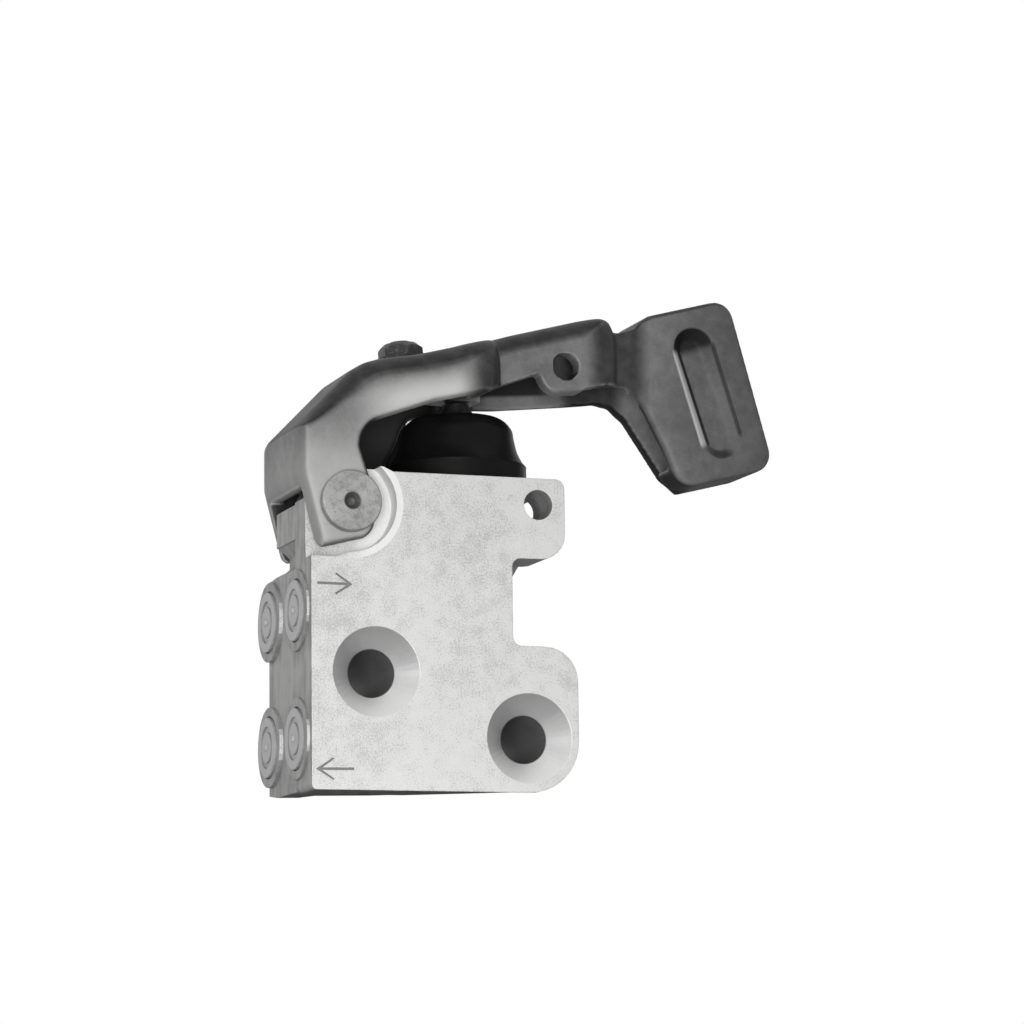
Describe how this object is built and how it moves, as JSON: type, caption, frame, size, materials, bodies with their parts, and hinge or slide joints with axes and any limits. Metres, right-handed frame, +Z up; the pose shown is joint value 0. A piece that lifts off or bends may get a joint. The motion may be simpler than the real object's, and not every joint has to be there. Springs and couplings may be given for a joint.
{
  "type": "brake force regulator",
  "caption": "Load-sensing brake force regulator: cast housing with line ports and a pivoted channel lever pressing on booted valve pistons.",
  "frame": {"origin": "on the housing's rear mounting face, between the two conical fixing holes", "axes": "+Z up, towards the boot and lever; +Y out of the rear mounting face; +X from the line ports towards the lever's free end"},
  "size_m": [0.1194, 0.0455, 0.1191],
  "materials": {
    "cast_alloy": "blasted casting",
    "plug_grey": "moulded",
    "dark_casting": "dark coated casting with light patches",
    "steel": "turned",
    "black_steel": "blackened",
    "spring_steel": "drawn",
    "bronze": "sintered",
    "brass": "turned",
    "rubber": "moulded"
  },
  "bodies": {
    "base": {"housing": "cast_alloy", "pivot_bush": "bronze", "boot": "rubber", "boot_ring": "steel", "port_plug_front_high": "plug_grey", "port_plug_front_low": "plug_grey", "port_plug_rear_high": "plug_grey", "port_plug_rear_low": "plug_grey", "guide_sleeve_front": "brass", "guide_sleeve_rear": "brass", "stem_seal_front": "rubber", "stem_seal_rear": "rubber", "piston_spring_front": "spring_steel", "piston_spring_rear": "spring_steel"},
    "lever_assembly": {"lever": "dark_casting", "pivot_pin": "steel", "pin_retaining_ring": "steel", "adjusting_screw": "black_steel", "lock_nut": "black_steel", "thrust_leaf": "spring_steel", "leaf_rivet": "steel"},
    "thrust_assembly": {"thrust_cap": "steel", "equaliser_beam": "steel"},
    "piston_assembly_front": {"piston_front": "steel", "piston_seal_front": "rubber", "valve_seat_front": "brass", "poppet_spring_front": "spring_steel"},
    "piston_assembly_rear": {"piston_rear": "steel", "piston_seal_rear": "rubber", "valve_seat_rear": "brass", "poppet_spring_rear": "spring_steel"},
    "valve_front": {"poppet_front": "steel"},
    "valve_rear": {"poppet_rear": "steel"}
  },
  "joints": [
    {"name": "lever_hinge", "type": "hinge", "parent": "base", "child": "lever_assembly", "pos_m": [-0.024, -0.021, 0.045], "axis": [0, 1, 0], "range_deg": [0, 3], "stiffness_Nm_per_rad": 10.6, "springref_deg": -3.5},
    {"name": "thrust_slide", "type": "slide", "parent": "base", "child": "thrust_assembly", "axis": [0, 0, 1], "range_m": [-0.00175, 0], "deforming": ["boot"]},
    {"name": "piston_slide_front", "type": "slide", "parent": "base", "child": "piston_assembly_front", "axis": [0, 0, 1], "range_m": [-0.00175, 0], "deforming": ["piston_spring_front"]},
    {"name": "piston_slide_rear", "type": "slide", "parent": "base", "child": "piston_assembly_rear", "axis": [0, 0, 1], "range_m": [-0.00175, 0], "deforming": ["piston_spring_rear"]},
    {"name": "poppet_slide_front", "type": "slide", "parent": "piston_assembly_front", "child": "valve_front", "axis": [0, 0, 1], "range_m": [0, 0.00175], "deforming": ["poppet_spring_front"]},
    {"name": "poppet_slide_rear", "type": "slide", "parent": "piston_assembly_rear", "child": "valve_rear", "axis": [0, 0, 1], "range_m": [0, 0.00175], "deforming": ["poppet_spring_rear"]}
  ],
  "couplings": [
    {"joint": "thrust_slide", "follows": "lever_hinge", "m_per_rad": -0.0325},
    {"joint": "piston_slide_front", "follows": "lever_hinge", "m_per_rad": -0.0325},
    {"joint": "piston_slide_rear", "follows": "lever_hinge", "m_per_rad": -0.0325},
    {"joint": "poppet_slide_front", "follows": "lever_hinge", "m_per_rad": 0.0325},
    {"joint": "poppet_slide_rear", "follows": "lever_hinge", "m_per_rad": 0.0325}
  ]
}
